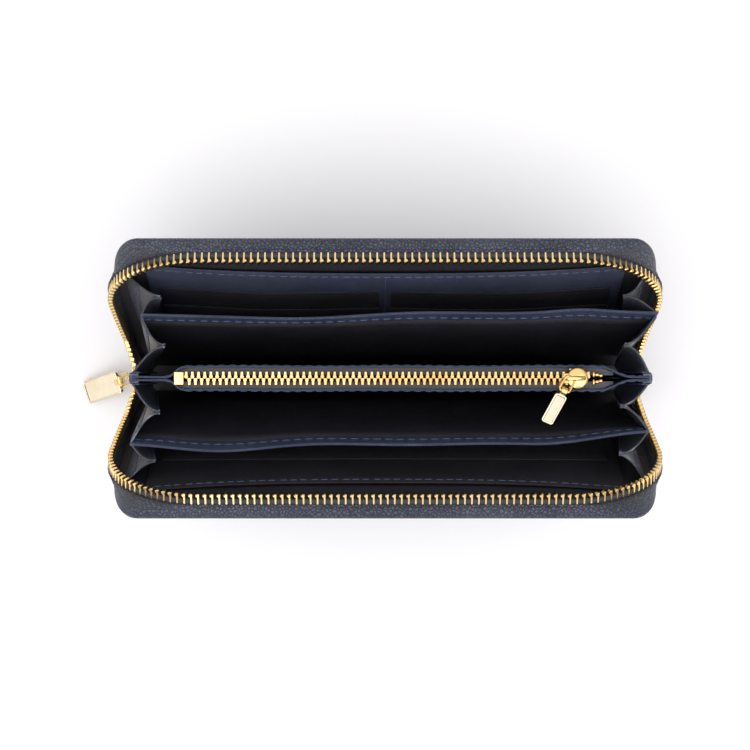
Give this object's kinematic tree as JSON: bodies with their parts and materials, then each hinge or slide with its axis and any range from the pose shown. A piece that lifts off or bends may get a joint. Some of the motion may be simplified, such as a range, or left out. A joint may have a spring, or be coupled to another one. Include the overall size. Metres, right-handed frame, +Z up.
{
  "type": "passport holder",
  "caption": "Zip-around travel wallet on its spine, both leather covers open in a V round two dividers and a zipped coin pocket.",
  "frame": {"origin": "centre of the spine's underside", "axes": "+X along the wallet towards the top stops, +Y towards the rear cover, +Z up"},
  "size_m": [0.2223, 0.1012, 0.0949],
  "materials": {
    "leather": "navy pebble-grain leather, semi-gloss",
    "lining": "smooth near-black lining leather",
    "board": "stiffening board",
    "tape": "woven zip tape",
    "gold": "polished gold-plated brass"
  },
  "bodies": {
    "spine": {"coin_bottom_stop": "gold", "coin_front_panel": "leather", "coin_pocket_base": "lining", "coin_rear_panel": "leather", "coin_top_stop_front": "gold", "coin_top_stop_rear": "gold", "coin_zip_chain_front": "gold", "coin_zip_chain_rear": "gold", "coin_zip_tape_front": "tape", "coin_zip_tape_rear": "tape", "main_bottom_stop": "gold", "spine_board": "board", "spine_leather": "leather", "spine_lining": "lining", "front_coin_gusset_left": "leather", "front_coin_gusset_right": "leather", "rear_coin_gusset_left": "leather", "rear_coin_gusset_right": "leather"},
    "rear_divider": {"rear_divider_panel": "lining", "rear_divider_hem": "leather", "rear_cover_gusset_left": "leather", "rear_cover_gusset_right": "leather"},
    "rear_cover": {"rear_cover_board": "board", "rear_cover_lining": "lining", "rear_cover_shell": "leather", "rear_edge_band": "leather", "rear_slip_panel": "leather", "rear_zip_chain": "gold", "rear_zip_tape": "tape", "rear_zip_top_stop": "gold", "card_pocket_left_1": "leather", "card_pocket_left_2": "leather", "card_pocket_left_3": "leather", "card_pocket_right_1": "leather", "card_pocket_right_2": "leather", "card_pocket_right_3": "leather"},
    "front_divider": {"front_divider_panel": "lining", "front_divider_hem": "leather", "front_cover_gusset_left": "leather", "front_cover_gusset_right": "leather"},
    "front_cover": {"front_cover_board": "board", "front_cover_lining": "lining", "front_cover_shell": "leather", "front_edge_band": "leather", "front_slip_panel": "leather", "front_zip_chain": "gold", "front_zip_tape": "tape", "front_zip_top_stop": "gold", "front_document_panel": "leather"},
    "coin_slider": {"coin_slider_body": "gold"},
    "coin_link": {"coin_slider_link": "gold"},
    "coin_tab": {"coin_pull_tab": "gold"},
    "main_slider": {"main_slider_body": "gold"},
    "main_link": {"main_slider_link": "gold"},
    "main_tab": {"main_pull_tab": "gold"}
  },
  "joints": [
    {"name": "rear_divider_swing", "type": "hinge", "parent": "spine", "child": "rear_divider", "pos_m": [0, 0.0078, 0.003], "axis": [1, 0, 0], "range_deg": [-5, 14], "deforming": ["rear_coin_gusset_left", "rear_coin_gusset_right"]},
    {"name": "rear_cover_swing", "type": "hinge", "parent": "rear_divider", "child": "rear_cover", "pos_m": [0, 0.0078, 0.003], "axis": [1, 0, 0], "range_deg": [-3.6, 10], "deforming": ["rear_cover_gusset_left", "rear_cover_gusset_right"]},
    {"name": "front_divider_swing", "type": "hinge", "parent": "spine", "child": "front_divider", "pos_m": [0, -0.0078, 0.003], "axis": [-1, 0, 0], "range_deg": [-5, 14], "deforming": ["front_coin_gusset_left", "front_coin_gusset_right"]},
    {"name": "front_cover_swing", "type": "hinge", "parent": "front_divider", "child": "front_cover", "pos_m": [0, -0.0078, 0.003], "axis": [-1, 0, 0], "range_deg": [-3.6, 10], "deforming": ["front_cover_gusset_left", "front_cover_gusset_right"]},
    {"name": "coin_slider_travel", "type": "slide", "parent": "spine", "child": "coin_slider", "axis": [-1, 0, 0], "range_m": [0, 0.135]},
    {"name": "coin_link_swivel", "type": "hinge", "parent": "coin_slider", "child": "coin_link", "pos_m": [0.067, 0, 0.0844], "axis": [0, 0.3782, -0.9257], "range_deg": [-23.22, 64.85]},
    {"name": "coin_tab_flap", "type": "hinge", "parent": "coin_link", "child": "coin_tab", "pos_m": [0.06467, -0.00456, 0.08254], "axis": [-0.9044, 0.3949, 0.1613], "range_deg": [0, 25]},
    {"name": "main_slider_travel", "type": "slide", "parent": "spine", "child": "main_slider", "axis": [0, 0, 1], "range_m": [0, 0.055]},
    {"name": "main_link_swing", "type": "hinge", "parent": "main_slider", "child": "main_link", "pos_m": [-0.1019, 0, 0.0115], "axis": [-0.309, 0.9511, 0], "range_deg": [0, 55]},
    {"name": "main_tab_flap", "type": "hinge", "parent": "main_link", "child": "main_tab", "pos_m": [-0.10626, -0.00142, 0.00829], "axis": [-0.309, 0.9511, 0], "range_deg": [0, 40]}
  ],
  "couplings": [
    {"joint": "rear_cover_swing", "follows": "rear_divider_swing", "ratio": 0.71428},
    {"joint": "front_cover_swing", "follows": "front_divider_swing", "ratio": 0.71428},
    {"joint": "coin_link_swivel", "follows": "front_divider_swing", "ratio": 4.6248}
  ]
}
